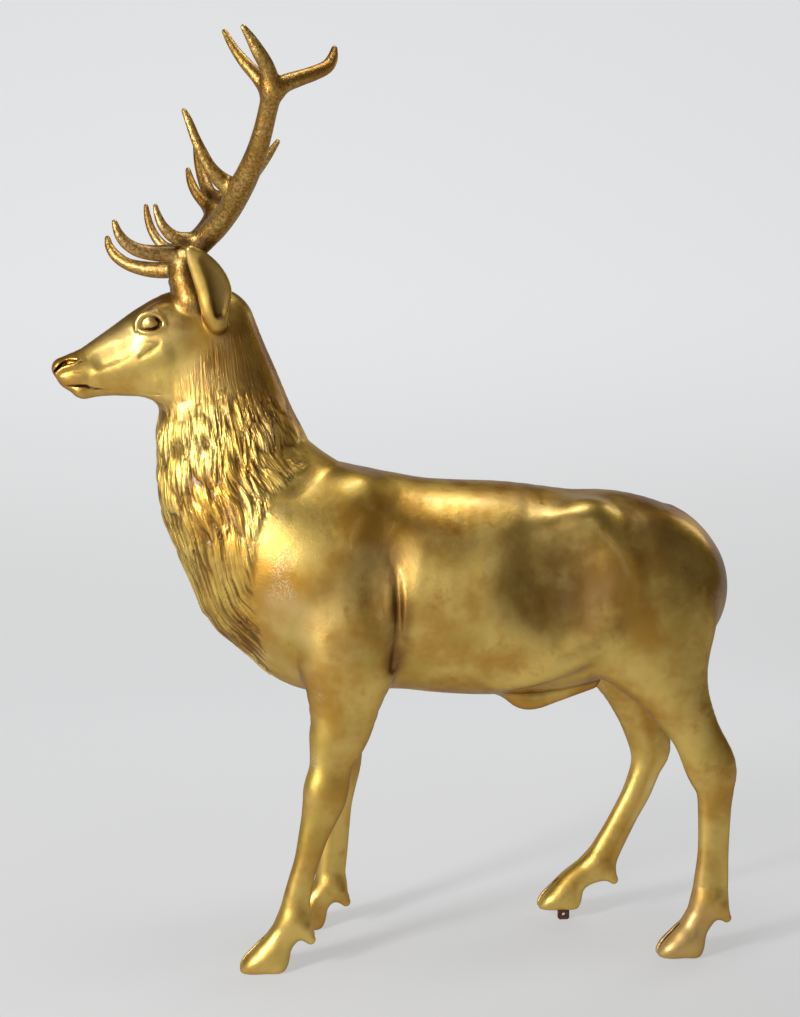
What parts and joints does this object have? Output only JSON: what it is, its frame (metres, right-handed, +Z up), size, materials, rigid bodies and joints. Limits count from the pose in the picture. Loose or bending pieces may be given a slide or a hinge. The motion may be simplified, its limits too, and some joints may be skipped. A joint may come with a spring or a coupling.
{
  "type": "bronze deer sculpture",
  "caption": "Life-size standing red deer stag cast in bronze with a gold patina, with branched antlers, a carved mane and cloven hooves it stands on.",
  "frame": {"origin": "on the ground at the middle of the sculpture's outline box", "axes": "+Z up, the stag's head points to -X, its left side to -Y"},
  "size_m": [1.6548, 0.957, 2.1138],
  "materials": {
    "gold_patina_bronze": "satin gold patina over a lightly stippled cast skin, browner in the recesses and on the antlers, worn bright and speckled on the high places",
    "rusted_steel": "dark rusted mild steel"
  },
  "bodies": {
    "root": {"deer": "gold_patina_bronze", "fixing_lug_far_hind": "rusted_steel"}
  },
  "joints": []
}
